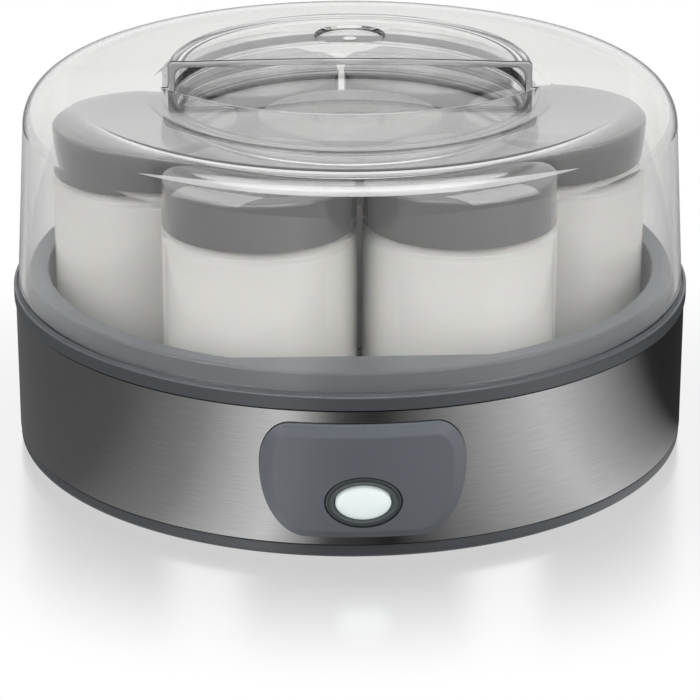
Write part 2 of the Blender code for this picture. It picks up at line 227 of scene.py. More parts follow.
def reckon(tree, operation, *sources):
    # a Math node; each source is a number or another node's output
    node = addNode(tree, "ShaderNodeMath", operation=operation)
    for socket, source in zip(node.inputs, sources):
        if isinstance(source, float):
            socket.default_value = source
        else:
            tree.links.new(source, socket)
    return node.outputs["Value"]


def makeGrainGroup():
    # moulded plastic: faint mottling of the colour, the roughness and the surface height
    group = bpy.data.node_groups.new("mouldedGrain", "ShaderNodeTree")
    face = group.interface
    face.new_socket(name="Colour", in_out="INPUT", socket_type="NodeSocketColor")
    face.new_socket(name="Gloss", in_out="INPUT", socket_type="NodeSocketFloat")
    face.new_socket(name="Scale", in_out="INPUT", socket_type="NodeSocketFloat")
    face.new_socket(name="Strength", in_out="INPUT", socket_type="NodeSocketFloat")
    face.new_socket(name="Colour", in_out="OUTPUT", socket_type="NodeSocketColor")
    face.new_socket(name="Roughness", in_out="OUTPUT", socket_type="NodeSocketFloat")
    face.new_socket(name="Height", in_out="OUTPUT", socket_type="NodeSocketFloat")
    start = group.nodes.new("NodeGroupInput")
    end = group.nodes.new("NodeGroupOutput")
    place = addNode(group, "ShaderNodeTexCoord")
    fine = addNode(group, "ShaderNodeTexNoise", Detail=3.0, Roughness=0.55)
    broad = addNode(group, "ShaderNodeTexNoise", Scale=22.0, Detail=2.0)
    shade = addNode(group, "ShaderNodeMapRange")
    shade.inputs["To Min"].default_value = 0.93
    shade.inputs["To Max"].default_value = 1.07
    tint = addNode(group, "ShaderNodeVectorMath", operation="SCALE")
    rough = addNode(group, "ShaderNodeMapRange")
    rough.inputs["To Min"].default_value = 0.85
    rough.inputs["To Max"].default_value = 1.15
    gloss = addNode(group, "ShaderNodeMath", operation="MULTIPLY")
    lift = addNode(group, "ShaderNodeMath", operation="MULTIPLY")
    link = group.links.new
    link(place.outputs["Object"], fine.inputs["Vector"])
    link(place.outputs["Object"], broad.inputs["Vector"])
    link(start.outputs["Scale"], fine.inputs["Scale"])
    link(broad.outputs["Fac"], shade.inputs["Value"])
    link(start.outputs["Colour"], tint.inputs[0])
    link(shade.outputs["Result"], tint.inputs["Scale"])
    link(broad.outputs["Fac"], rough.inputs["Value"])
    link(rough.outputs["Result"], gloss.inputs[0])
    link(start.outputs["Gloss"], gloss.inputs[1])
    link(fine.outputs["Fac"], lift.inputs[0])
    link(start.outputs["Strength"], lift.inputs[1])
    link(tint.outputs["Vector"], end.inputs["Colour"])
    link(gloss.outputs["Value"], end.inputs["Roughness"])
    link(lift.outputs["Value"], end.inputs["Height"])
    return group


grainGroup = makeGrainGroup()


def newMaterial(name):
    material = bpy.data.materials.new(name)
    material.use_nodes = True
    tree = material.node_tree
    shader = tree.nodes["Principled BSDF"]
    return material, tree, shader


plasticDetail = {"bump": 0.15, "bumpHeight": 0.0002, "coatRoughness": 0.08, "milkReach": 0.004}


def mouldedMaterial(name, finish):
    material, tree, shader = newMaterial(name)
    grain = tree.nodes.new("ShaderNodeGroup")
    grain.node_tree = grainGroup
    grain.inputs["Colour"].default_value = (*finish["colour"], 1.0)
    grain.inputs["Gloss"].default_value = finish["roughness"]
    grain.inputs["Scale"].default_value = finish["grainScale"]
    grain.inputs["Strength"].default_value = finish["grainStrength"]
    bump = addNode(tree, "ShaderNodeBump", Strength=finish.get("bump", plasticDetail["bump"]),
                   Distance=plasticDetail["bumpHeight"])
    tree.links.new(grain.outputs["Colour"], shader.inputs["Base Color"])
    tree.links.new(grain.outputs["Roughness"], shader.inputs["Roughness"])
    tree.links.new(grain.outputs["Height"], bump.inputs["Height"])
    tree.links.new(bump.outputs["Normal"], shader.inputs["Normal"])
    shader.inputs["Metallic"].default_value = finish.get("metallic", 0.0)
    shader.inputs["Coat Weight"].default_value = finish.get("coat", 0.0)
    shader.inputs["Coat Roughness"].default_value = plasticDetail["coatRoughness"]
    # glow is painted light: an emission that makes the part brighter than the lamps light it
    if "glow" in finish:
        shader.inputs["Emission Color"].default_value = (*finish["glowColour"], 1.0)
        shader.inputs["Emission Strength"].default_value = finish["glow"]
    if "milk" in finish:
        shader.inputs["Subsurface Weight"].default_value = finish["milk"]
        shader.inputs["Subsurface Scale"].default_value = plasticDetail["milkReach"]
    return material


def clearMaterial(name, finish):
    # clear plastic or glass: shadows pass through it, tinted
    material, tree, shader = newMaterial(name)
    place = addNode(tree, "ShaderNodeTexCoord")
    haze = addNode(tree, "ShaderNodeTexNoise", Scale=finish["hazeScale"], Detail=2.0)
    clearer = tuple(min(1.0, part * 1.02) for part in finish["tint"])
    tone = ramp(tree, [(0.3, finish["tint"]), (0.7, clearer)])
    facing = addNode(tree, "ShaderNodeLayerWeight", Blend=finish["edgeSpread"])
    edge = addNode(tree, "ShaderNodeMix", data_type="RGBA")
    edge.inputs[7].default_value = (*finish["edgeTint"], 1.0)
    rough = addNode(tree, "ShaderNodeMapRange")
    rough.inputs["To Min"].default_value = finish["roughness"] * 0.5
    rough.inputs["To Max"].default_value = finish["roughness"] * 1.5
    shader.inputs["Transmission Weight"].default_value = 1.0
    shader.inputs["IOR"].default_value = finish["ior"]
    path = addNode(tree, "ShaderNodeLightPath")
    through = addNode(tree, "ShaderNodeBsdfTransparent")
    through.inputs["Color"].default_value = (*finish["shadowTint"], 1.0)
    mixer = addNode(tree, "ShaderNodeMixShader")
    output = tree.nodes["Material Output"]
    tree.links.new(place.outputs["Object"], haze.inputs["Vector"])
    tree.links.new(haze.outputs["Fac"], tone.inputs["Fac"])
    tree.links.new(haze.outputs["Fac"], rough.inputs["Value"])
    tree.links.new(facing.outputs["Facing"], edge.inputs[0])
    tree.links.new(tone.outputs["Color"], edge.inputs[6])
    tree.links.new(edge.outputs[2], shader.inputs["Base Color"])
    tree.links.new(rough.outputs["Result"], shader.inputs["Roughness"])
    tree.links.new(path.outputs["Is Shadow Ray"], mixer.inputs["Fac"])
    tree.links.new(shader.outputs["BSDF"], mixer.inputs[1])
    tree.links.new(through.outputs["BSDF"], mixer.inputs[2])
    tree.links.new(mixer.outputs["Shader"], output.inputs["Surface"])
    return material


def paintedEdgeLight(material, finish):
    # painted light: part of the cut edge round the mouth of the grip is made matte grey in place of the light
    # that shows through the clear edge, which as clear plastic renders as a black line
    tree = material.node_tree
    output = tree.nodes["Material Output"]
    clear = output.inputs["Surface"].links[0].from_node
    place = addNode(tree, "ShaderNodeTexCoord")
    spot = addNode(tree, "ShaderNodeSeparateXYZ")
    lean = addNode(tree, "ShaderNodeSeparateXYZ")
    rim = addNode(tree, "ShaderNodeBsdfDiffuse")
    rim.inputs["Color"].default_value = (*finish["colour"], 1.0)
    mixer = addNode(tree, "ShaderNodeMixShader")
    link = tree.links.new
    link(place.outputs["Object"], spot.inputs["Vector"])
    link(place.outputs["Normal"], lean.inputs["Vector"])
    above = reckon(tree, "GREATER_THAN", spot.outputs["Z"], finish["above"])
    ahead = reckon(tree, "LESS_THAN", spot.outputs["Y"], finish["ahead"])
    facing = reckon(tree, "LESS_THAN", lean.outputs["Y"], finish["facing"])
    mask = reckon(tree, "MULTIPLY", reckon(tree, "MULTIPLY", above, ahead), facing)
    link(reckon(tree, "MULTIPLY", mask, finish["amount"]), mixer.inputs["Fac"])
    link(clear.outputs["Shader"], mixer.inputs[1])
    link(rim.outputs["BSDF"], mixer.inputs[2])
    link(mixer.outputs["Shader"], output.inputs["Surface"])


def brushedMaterial(name, finish):
    # long fine scratches that run round the band
    material, tree, shader = newMaterial(name)
    place = addNode(tree, "ShaderNodeTexCoord")
    parts = addNode(tree, "ShaderNodeSeparateXYZ")
    angle = addNode(tree, "ShaderNodeMath", operation="ARCTAN2")
    along = addNode(tree, "ShaderNodeMath", operation="MULTIPLY")
    along.inputs[1].default_value = finish["alongScale"]
    across = addNode(tree, "ShaderNodeMath", operation="MULTIPLY")
    across.inputs[1].default_value = finish["acrossScale"]
    streak = addNode(tree, "ShaderNodeCombineXYZ")
    lines = addNode(tree, "ShaderNodeTexNoise", Scale=1.0, Detail=4.0, Roughness=0.65)
    tone = ramp(tree, [(0.25, finish["dark"]), (0.75, finish["light"])])
    rough = addNode(tree, "ShaderNodeMapRange")
    rough.inputs["To Min"].default_value = finish["smooth"]
    rough.inputs["To Max"].default_value = finish["rough"]
    bump = addNode(tree, "ShaderNodeBump", Strength=finish["bump"], Distance=finish["bumpHeight"])
    link = tree.links.new
    link(place.outputs["Object"], parts.inputs["Vector"])
    link(parts.outputs["Y"], angle.inputs[0])
    link(parts.outputs["X"], angle.inputs[1])
    link(angle.outputs["Value"], along.inputs[0])
    link(parts.outputs["Z"], across.inputs[0])
    link(along.outputs["Value"], streak.inputs["X"])
    link(across.outputs["Value"], streak.inputs["Y"])
    link(streak.outputs["Vector"], lines.inputs["Vector"])
    link(lines.outputs["Fac"], tone.inputs["Fac"])
    link(lines.outputs["Fac"], rough.inputs["Value"])
    link(lines.outputs["Fac"], bump.inputs["Height"])
    link(tone.outputs["Color"], shader.inputs["Base Color"])
    link(rough.outputs["Result"], shader.inputs["Roughness"])
    link(bump.outputs["Normal"], shader.inputs["Normal"])
    shader.inputs["Metallic"].default_value = 1.0
    return material


finishes = {
    "housing": {"colour": (0.1, 0.106, 0.117), "roughness": 0.34, "grainScale": 1800.0, "grainStrength": 0.4},
    "panel": {"colour": (0.18, 0.193, 0.22), "roughness": 0.32, "grainScale": 1800.0, "grainStrength": 0.5},
    "bezel": {"colour": (0.08, 0.09, 0.095), "roughness": 0.25, "grainScale": 1500.0, "grainStrength": 0.6},
    "lid": {"colour": (0.1, 0.1, 0.1), "roughness": 0.14, "grainScale": 90.0, "grainStrength": 0.1,
            "coat": 0.3, "bump": 0.01},
    "yogurt": {"colour": (0.93, 0.925, 0.9), "roughness": 0.4, "grainScale": 120.0, "grainStrength": 1.0,
               "milk": 0.2, "bump": 0.03},
    # the button's glow is painted light, an emission that brightens it
    "button": {"colour": (0.84, 0.9, 0.89), "roughness": 0.22, "grainScale": 300.0, "grainStrength": 0.4,
               "glow": 0.38, "glowColour": (0.9, 1.0, 1.0), "milk": 0.2, "bump": 0.03},
    "darkPart": {"colour": (0.03, 0.03, 0.03), "roughness": 0.5, "grainScale": 900.0, "grainStrength": 1.0},
    "rubber": {"colour": (0.02, 0.02, 0.02), "roughness": 0.8, "grainScale": 1500.0, "grainStrength": 1.5},
    "ceramic": {"colour": (0.75, 0.74, 0.7), "roughness": 0.5, "grainScale": 700.0, "grainStrength": 1.0},
    "board": {"colour": (0.02, 0.09, 0.04), "roughness": 0.4, "grainScale": 500.0, "grainStrength": 0.6},
    "heaterCord": {"colour": (0.45, 0.4, 0.3), "roughness": 0.7, "grainScale": 900.0, "grainStrength": 1.5},
    "sheet": {"colour": (0.75, 0.75, 0.76), "roughness": 0.4, "grainScale": 250.0, "grainStrength": 1.0,
              "metallic": 1.0},
}
brushedFinish = {"alongScale": 9.0, "acrossScale": 5200.0,
                 "dark": (0.34, 0.34, 0.34), "light": (0.46, 0.46, 0.46),
                 "smooth": 0.17, "rough": 0.27, "bump": 0.15, "bumpHeight": 0.00005}
coverFinish = {"tint": (0.925, 0.922, 0.918), "edgeTint": (0.79, 0.79, 0.785), "edgeSpread": 0.3,
               "roughness": 0.008, "ior": 1.49, "hazeScale": 18.0, "shadowTint": (0.9, 0.9, 0.9)}
# painted light on the cut edge round the grip's mouth: a matte grey standing in for light through the clear
# edge
paintedEdgeLightFinish = {"above": 0.1264, "ahead": 0.006, "facing": -0.6, "amount": 0.6, "colour": (0.75, 0.75, 0.75)}
glassFinish = {"tint": (0.985, 0.985, 0.98), "edgeTint": (0.85, 0.86, 0.83), "edgeSpread": 0.3,
               "roughness": 0.01, "ior": 1.5, "hazeScale": 30.0, "shadowTint": (0.97, 0.97, 0.965)}

materials = {key: mouldedMaterial(key + "Finish", finish) for key, finish in finishes.items()}
steelMaterial = brushedMaterial("brushedBand", brushedFinish)
coverMaterial = clearMaterial("clearCover", coverFinish)
paintedEdgeLight(coverMaterial, paintedEdgeLightFinish)
glassMaterial = clearMaterial("jarGlass", glassFinish)
print("materials ready")


# Base, band and top housing

cutMargin = 3.0

baseShape = {"steps": 192, "wall": 2.0, "floor": 2.0, "ringFillet": 2.2, "bandSeat": 1.3, "bandGap": 0.3,
             "edge": 0.3, "buttonGap": 0.9, "cutDepth": 12.0, "sharp": 40.0}


def makeBase():
    radius = nodeRadius("base_shell")
    shape = baseShape
    inner = radius - shape["bandSeat"]
    seat = bandLow.z - shape["bandGap"]
    corners = [
        (0.0, baseLow.z, 0),
        (radius, baseLow.z, shape["ringFillet"]),
        (radius, seat, 0.4),
        (inner, seat, shape["edge"]),
        (inner, baseHigh.z, shape["edge"]),
        (inner - shape["wall"], baseHigh.z, shape["edge"]),
        (inner - shape["wall"], baseLow.z + shape["floor"], 1.0),
        (0.0, baseLow.z + shape["floor"], 0),
    ]
    piece = pieceFrom("baseShell", spun(softened(corners), shape["steps"]), materials["housing"],
                      "base", ["base_shell"])
    gap = shape["buttonGap"]
    outline = oval(buttonHigh.x + gap, (buttonHigh.z - buttonLow.z) / 2.0 + gap, 64, buttonCentre())
    carve(piece, lofted([wrapped(outline, inner - shape["cutDepth"]), wrapped(outline, radius + cutMargin)]))
    resharpen(piece, shape["sharp"])


bandShape = {"steps": 256, "thickness": 0.6, "edge": 0.2, "panelGap": 0.4}


def makeBand():
    radius = nodeRadius("steel_band")
    edge = bandShape["edge"]
    corners = [
        (radius, bandHigh.z, edge),
        (radius, bandLow.z, edge),
        (radius - bandShape["thickness"], bandLow.z, edge),
        (radius - bandShape["thickness"], bandHigh.z, edge),
    ]
    piece = pieceFrom("steelBand", spun(softened(corners, 3, True), bandShape["steps"]), steelMaterial,
                      "base", ["steel_band"])
    outline = panelOutline(-bandShape["panelGap"])
    carve(piece, lofted([wrapped(outline, radius - cutMargin), wrapped(outline, radius + cutMargin)]))
    resharpen(piece, 30.0)


housingShape = {"steps": 192, "rimTop": 59.6, "collar": 115.4, "collarInner": 108.3, "wellRadius": 106.5,
                "wellFloor": 35.4, "wall": 2.0, "grooveOut": 119.9, "grooveDepth": 1.1, "chord": 99.8}


def makeHousing():
    shape = housingShape
    rim = nodeRadius("top_housing")
    under = shape["wellFloor"] - shape["wall"]
    groove = shape["rimTop"] - shape["grooveDepth"]
    corners = [
        (0.0, shape["wellFloor"], 0),
        (shape["wellRadius"], shape["wellFloor"], 3.0),
        (shape["collarInner"], housingHigh.z, 0.8),
        (shape["collar"], housingHigh.z, 1.0),
        (shape["collar"], groove, 0.5),
        (shape["grooveOut"], groove, 0.2),
        (shape["grooveOut"], shape["rimTop"], 0.2),
        (rim, shape["rimTop"], 1.0),
        (rim, bandHigh.z + 0.5, 0.3),
        (shape["collar"] - 3.0, bandHigh.z + 0.5, 0.5),
        (shape["wellRadius"] + shape["wall"], under, 2.0),
        (0.0, under, 0),
    ]
    piece = pieceFrom("topHousing", spun(softened(corners), shape["steps"]), materials["housing"],
                      "base", ["top_housing"])
    carve(piece, chordTool(), "UNION")
    resharpen(piece, 30.0)


def chordTool():
    # the front of the well is closed off by a straight wall that hides the switch
    shape = housingShape
    half = math.acos(shape["chord"] / shape["collarInner"])
    rings = []
    for height in (shape["wellFloor"] - 1.0, housingHigh.z - 0.1):
        share = (height - shape["wellFloor"]) / (housingHigh.z - shape["wellFloor"])
        radius = shape["wellRadius"] + share * (shape["collarInner"] - shape["wellRadius"]) + 0.8
        ring = []
        for index in range(49):
            angle = (index / 24.0 - 1.0) * (half + 0.05)
            ring.append((radius * math.sin(angle), -radius * math.cos(angle), height))
        for index in range(15):
            across = (1.0 - index / 7.0) * shape["collarInner"] * math.sin(half)
            ring.append((across, -shape["chord"], height))
        rings.append(ring)
    return lofted(rings)


# Front panel, bezel and button, wrapped round the band

panelShape = {"points": 144, "upper": (10.5, 14.0), "lower": (16.0, 24.0), "bevelSide": 5.0, "bevelTop": 3.8,
              "bevelBottom": 2.6, "bevelDrop": 1.5, "faceRings": 5, "wrapRadius": 122.0, "sideRadius": 120.8,
              "back": 119.9, "holeGap": 0.3}
bezelShape = {"rings": [(0.0, -2.4), (0.0, -0.5), (0.3, -0.1), (0.7, 0.0), (1.2, -0.1)], "depth": 2.1}
buttonShape = {"rings": [(0.0, -4.0), (0.0, -1.7), (0.12, -1.1), (0.6, -0.6), (1.5, -0.3), (2.8, -0.12),
                         (4.2, -0.03), (5.2, 0.0)]}


def wrapped(points, radius):
    # lays flat (across, up) points on an upright cylinder of that radius, facing -Y
    ring = []
    for point in points:
        angle = point[0] / panelShape["wrapRadius"]
        ring.append((radius * math.sin(angle), -radius * math.cos(angle), point[1]))
    return ring


def ovalCorner(across, up, size, start):
    # a quarter oval that rounds the square corner at (across, up)
    middle = (across - math.copysign(size[0], across),
              up - math.copysign(size[1], up - buttonCentre()[1]))
    points = []
    for index in range(17):
        angle = math.radians(start - 90.0 * index / 16)
        points.append((middle[0] + size[0] * math.cos(angle), middle[1] + size[1] * math.sin(angle)))
    return points


def panelOutline(inset, share=None):
    # share None insets evenly; otherwise each side moves in by its own bevel width
    shape = panelShape
    widths = (inset, inset, inset)
    if share is not None:
        widths = [inset + share * shape[key] for key in ("bevelSide", "bevelTop", "bevelBottom")]
    half = (panelHigh.x - panelLow.x) / 2.0 * shape["wrapRadius"] / shape["sideRadius"] - widths[0]
    top = panelHigh.z - widths[1]
    bottom = panelLow.z + widths[2]
    upper = (shape["upper"][0] - 0.9 * widths[0], shape["upper"][1] - 1.5 * widths[1])
    lower = (shape["lower"][0] - 0.9 * widths[0], shape["lower"][1] - 2.0 * widths[2])
    outline = ovalCorner(half, top, upper, 90.0) + ovalCorner(half, bottom, lower, 0.0)
    outline += ovalCorner(-half, bottom, lower, -90.0) + ovalCorner(-half, top, upper, 180.0)
    return evenly([(0.0, top)] + outline, shape["points"])


def buttonCentre():
    return (0.0, (buttonLow.z + buttonHigh.z) / 2.0)


def bezelCentre():
    low, high = nodeBox("bezel_ring")
    return (0.0, (low.z + high.z) / 2.0)


def makePanel():
    shape = panelShape
    face = -panelLow.y
    bezelLow, bezelHigh = nodeBox("bezel_ring")
    gap = shape["holeGap"]
    hole = oval(bezelHigh.x + gap, (bezelHigh.z - bezelLow.z) / 2.0 + gap, shape["points"], bezelCentre())
    inner = panelOutline(0.6, 1.0)
    rings = [wrapped(hole, shape["back"]), wrapped(panelOutline(0.0), shape["back"])]
    rings.append(wrapped(panelOutline(0.0), face - shape["bevelDrop"] - 0.3))
    rings.append(wrapped(panelOutline(0.1), face - shape["bevelDrop"] - 0.1))
    rings.append(wrapped(panelOutline(0.3), face - shape["bevelDrop"]))
    rings.append(wrapped(panelOutline(0.0, 0.9), face - 0.16))
    rings.append(wrapped(panelOutline(0.2, 0.97), face - 0.04))
    rings.append(wrapped(inner, face))
    for index in range(1, shape["faceRings"]):
        share = index / shape["faceRings"]
        rings.append(wrapped([a.lerp(b, share) for a, b in zip(inner, hole)], face))
    rings.append(wrapped(hole, face))
    pieceFrom("frontPanel", lofted(rings, True), materials["panel"], "base",
              ["front_panel"], 35.0)


def makeBezel():
    low, high = nodeBox("bezel_ring")
    up = (high.z - low.z) / 2.0
    rings = []
    for inset, depth in bezelShape["rings"]:
        rings.append(wrapped(oval(high.x - inset, up - inset, 96, bezelCentre()), -low.y + depth))
    outer = oval(high.x - 1.6, up - 1.6, 96, bezelCentre())
    hole = oval(buttonHigh.x + 0.35, (buttonHigh.z - buttonLow.z) / 2.0 + 0.35, 96, buttonCentre())
    for share in (0.0, 0.35, 0.7, 1.0):
        ring = [a.lerp(b, share) for a, b in zip(outer, hole)]
        rings.append(wrapped(ring, -low.y - 0.25 - (bezelShape["depth"] - 0.25) * share ** 0.8))
    rings.append(wrapped(hole, -low.y - 2.4))
    pieceFrom("bezelRing", lofted(rings, True), materials["bezel"], "base",
              ["bezel_ring"], 50.0)


def makeButton():
    rings = []
    for inset, depth in buttonShape["rings"]:
        across = buttonHigh.x - inset
        up = (buttonHigh.z - buttonLow.z) / 2.0 - inset
        rings.append(wrapped(oval(across, up, 72, buttonCentre()), -buttonLow.y + depth))
    pieceFrom("pushButton", lofted(rings), materials["button"], "button",
              ["push_button"], 50.0)


# Jars, lids and yogurt

jarShape = {"steps": 96, "wall": 2.6, "shoulder": 99.4, "neck": 30.6, "neckWall": 2.4, "foot": 3.2,
            "push": 1.4, "floor": 4.2, "cornerFillet": 4.5, "shoulderDrop": 4.0, "shoulderFillet": 1.5}
lidShape = {"steps": 96, "edge": 1.5, "wall": 1.4, "crown": 0.5}
yogurtShape = {"steps": 96, "sink": 0.06}


def nodeCentre(node):
    low, high = nodeBox(node)
    return ((low.x + high.x) / 2.0, (low.y + high.y) / 2.0)


def makeJar(name):
    low, high = nodeBox("jar_" + name)
    shape = jarShape
    radius = nodeRadius("jar_centre")
    inner = radius - shape["wall"]
    mouth = shape["neck"] - shape["neckWall"]
    floor = low.z + shape["floor"]
    corners = [
        (0.0, low.z + shape["push"], 0),
        (radius - 6.5, low.z + shape["push"], 1.0),
        (radius - 3.6, low.z, 1.0),
        (radius, low.z, shape["foot"]),
        (radius, shape["shoulder"] - 1.6, 1.2),
        (shape["neck"], shape["shoulder"], 0.6),
        (shape["neck"], high.z, 0.8),
        (mouth, high.z, 0.8),
        (mouth, shape["shoulder"], shape["shoulderFillet"]),
        (inner, shape["shoulder"] - shape["shoulderDrop"], shape["shoulderFillet"]),
        (inner, floor, shape["cornerFillet"]),
        (0.0, floor, 0),
    ]
    build = spun(softened(corners, 5), shape["steps"], nodeCentre("jar_" + name))
    pieceFrom("jar_" + name + "_glass", build, glassMaterial, "jar_" + name,
              ["jar_" + name])


def makeLid(name):
    low, high = nodeBox("lid_" + name)
    radius = nodeRadius("lid_centre")
    shape = lidShape
    corners = [
        (0.0, high.z, 0),
        (radius - 6.0, high.z - shape["crown"] * 0.3, 8.0),
        (radius, high.z - shape["crown"], shape["edge"]),
        (radius, low.z, 0.4),
        (radius - shape["wall"], low.z, 0.4),
        (radius - shape["wall"], high.z - 1.8, 1.0),
        (0.0, high.z - 1.8, 0),
    ]
    build = spun(softened(corners, 6), shape["steps"], nodeCentre("lid_" + name))
    pieceFrom("lid_" + name + "_cap", build, materials["lid"], "lid_" + name,
              ["lid_" + name])


def makeYogurt(name):
    low, high = nodeBox("yogurt_" + name)
    glass = jarShape
    radius = nodeRadius("jar_centre") - glass["wall"] + yogurtShape["sink"]
    neck = glass["neck"] - glass["neckWall"] + yogurtShape["sink"]
    corners = [
        (0.0, low.z, 0),
        (radius, low.z, glass["cornerFillet"]),
        (radius, glass["shoulder"] - glass["shoulderDrop"], glass["shoulderFillet"]),
        (neck, glass["shoulder"], glass["shoulderFillet"]),
        (neck, high.z, 1.0),
        (0.0, high.z - 0.6, 0),
    ]
    build = spun(softened(corners, 4), yogurtShape["steps"], nodeCentre("yogurt_" + name))
    pieceFrom("yogurt_" + name + "_fill", build, materials["yogurt"], "jar_" + name,
              ["yogurt_" + name])


# Clear cover with its finger grip

coverShape = {"points": 192, "wall": 2.4, "topEdge": 115.0, "topLevel": 133.3, "shoulder": 14.0,
              "plateTop": 128.6, "plateEdge": 72.0, "plateFillet": 6.0, "gripRadius": 64.5, "gripFoot": 0.8,
              "roofReach": 10.5, "join": 65.4, "mouthDepth": 29.7, "turn": -2.0, "outerFillet": 1.9,
              "innerFillet": 8.0, "bow": 3.6, "edge": 1.05, "edgeAngle": 55.0, "sharp": 18.0,
              "dimpleRadius": 13.5, "dimplePlace": 34.6, "dimpleDepth": 1.3}


def halfTurn(build, outline, way):
    # spins an outline from the right end round to the left, by the rear (+1) or the front (-1)
    points = [build.verts.new((radius * mm, 0.0, height * mm)) for radius, height in outline]
    lines = [build.edges.new(pair) for pair in zip(points, points[1:])]
    bmesh.ops.spin(build, geom=points + lines, cent=(0, 0, 0), axis=(0, 0, 1), dvec=(0, 0, 0),
                   angle=way * math.pi, steps=coverShape["points"] // 2, use_merge=False, use_duplicate=False)


def stretched(build, edges, depthAt):
    # pulls a copy of the edges to the depth that depthAt gives for each place across
    pulled = bmesh.ops.extrude_edge_only(build, edges=edges)
    for point in [item for item in pulled["geom"] if isinstance(item, bmesh.types.BMVert)]:
        point.co.y = depthAt(point.co.x / mm) * mm


def lipDepth(across):
    join = coverShape["join"]
    depth = coverShape["mouthDepth"]
    swing = (join ** 2 + depth ** 2) / (2.0 * depth)
    return swing - depth - math.sqrt(swing ** 2 - min(abs(across), join) ** 2)


def coverSkin(side, roof):
    # one skin: side is its outline from the rim to the joining ring, roof goes on from there up the grip
    shape = coverShape
    build = bmesh.new()
    halfTurn(build, side + roof[1:], 1.0)
    halfTurn(build, side, -1.0)
    bmesh.ops.remove_doubles(build, verts=build.verts, dist=mergeGap)
    level = side[-1][1] * mm
    reach = roof[-1][0]
    openEdges = [edge for edge in build.edges if edge.is_boundary]
    slack = 0.1 * mm
    brow = [edge for edge in openEdges if min(point.co.z for point in edge.verts) > roof[-1][1] * mm - slack
            and max(point.co.y for point in edge.verts) > slack
            and abs(edge.verts[0].co.xy.length - edge.verts[1].co.xy.length) < slack]
    lip = [edge for edge in openEdges if abs(edge.verts[0].co.z - level) < slack
           and min(point.co.y for point in edge.verts) < -slack]
    stretched(build, brow, lambda across: shape["bow"] * (1.0 - (across / reach) ** 2))
    stretched(build, lip, lipDepth)
    bmesh.ops.remove_doubles(build, verts=build.verts, dist=mergeGap)
    return build


def stitch(build, edges):
    # joins two open loops point by point, each walked from its right end by the front
    links = {}
    for edge in edges:
        for point in edge.verts:
            links.setdefault(point, []).append(edge.other_vert(point))
    loops = []
    while links:
        start = max(links, key=lambda point: point.co.x)
        path = [start, min(links[start], key=lambda point: point.co.y)]
        while start not in links[path[-1]] or len(path) < 3:
            path.append(next(point for point in links[path[-1]] if point is not path[-2]))
        for point in path:
            del links[point]
        loops.append(path)
    first, second = loops
    for index in range(len(first)):
        build.faces.new((first[index - 1], first[index], second[index], second[index - 1]))


def joinSkins(build):
    # closes the rim at the bottom and the mouth at the top
    openEdges = [edge for edge in build.edges if edge.is_boundary]
    middle = (coverLow.z + coverHigh.z) / 2.0 * mm
    stitch(build, [edge for edge in openEdges if edge.verts[0].co.z < middle])
    stitch(build, [edge for edge in openEdges if edge.verts[0].co.z > middle])


def coverBuild():
    shape = coverShape
    outer = nodeRadius("cover_shell")
    wall = shape["wall"]
    plate = shape["plateTop"]
    grip = shape["gripRadius"]
    top = shape["topLevel"]
    reach = grip - shape["roofReach"]
    foot = shape["gripFoot"]
    side = softened([(outer, coverLow.z, 0), (shape["topEdge"], top, shape["shoulder"]),
                     (shape["plateEdge"], plate, shape["plateFillet"]), (shape["join"], plate, 0)], 12)
    roof = softened([(shape["join"], plate, 0), (grip, plate, foot),
                     (grip, coverHigh.z, shape["outerFillet"]), (reach, coverHigh.z, 0)], 8)
    build = coverSkin(side, roof)
    side = softened([(outer - wall, coverLow.z, 0),
                     (shape["topEdge"] - wall, top - wall, shape["shoulder"] - wall),
                     (shape["plateEdge"], plate - wall, shape["plateFillet"]),
                     (shape["join"], plate - wall, 0)], 12)
    roof = softened([(shape["join"], plate - wall, 0), (grip - wall, plate - wall, foot),
                     (grip - wall, coverHigh.z - wall, shape["innerFillet"]),
                     (reach, coverHigh.z - wall, 0)], 8)
    inner = coverSkin(side, roof)
    mesh = bpy.data.meshes.new("innerSkin")
    inner.to_mesh(mesh)
    inner.free()
    build.from_mesh(mesh)
    bpy.data.meshes.remove(mesh)
    joinSkins(build)
    bmesh.ops.recalc_face_normals(build, faces=build.faces)
    corners = [edge for edge in build.edges if edge.calc_face_angle() > math.radians(shape["edgeAngle"])]
    bmesh.ops.bevel(build, geom=corners, offset=shape["edge"] * mm, segments=6, profile=0.5, affect="EDGES",
                    clamp_overlap=False, material=-1)
    return build


def makeCover():
    shape = coverShape
    piece = pieceFrom("clearCover", coverBuild(), coverMaterial, "cover",
                      ["cover_shell"], 60.0)
    depth = shape["dimpleDepth"]
    radius = shape["dimpleRadius"]
    outline = softened([(0.0, 0.5 - depth, 0), (1.2, 0.4 - depth, 0.6), (2.4, -depth, 1.0),
                        (radius - 1.6, -depth, 1.2),
                        (radius - 0.6, 0.0, 0.6), (radius, 0.25, 0.4), (radius, 2.0, 0.2), (0.0, 2.0, 0)], 6)
    dimple = spun(outline, 96, (0.0, shape["dimplePlace"]))
    bmesh.ops.translate(dimple, verts=dimple.verts, vec=(0.0, 0.0, coverHigh.z * mm))
    carve(piece, dimple)
    piece.data.transform(Matrix.Rotation(math.radians(shape["turn"]), 4, "Z"))
    resharpen(piece, shape["sharp"])


def makeCup():
    grip = coverShape["gripRadius"]
    corners = [
        (0.0, cupLow.z, 0),
        (grip, cupLow.z, 2.6),
        (grip, cupHigh.z - 1.4, 0.3),
        (grip + 2.4, cupHigh.z - 1.4, 0.5),
        (grip + 2.4, cupHigh.z, 0.5),
        (grip - 1.8, cupHigh.z, 0.5),
        (grip - 1.8, cupLow.z + 1.8, 1.6),
        (0.0, cupLow.z + 1.8, 0),
    ]
    pieceFrom("gripCup", spun(softened(corners, 6), 160), coverMaterial, "cover",
              ["grip_cup"], 60.0)


# Rear and underside

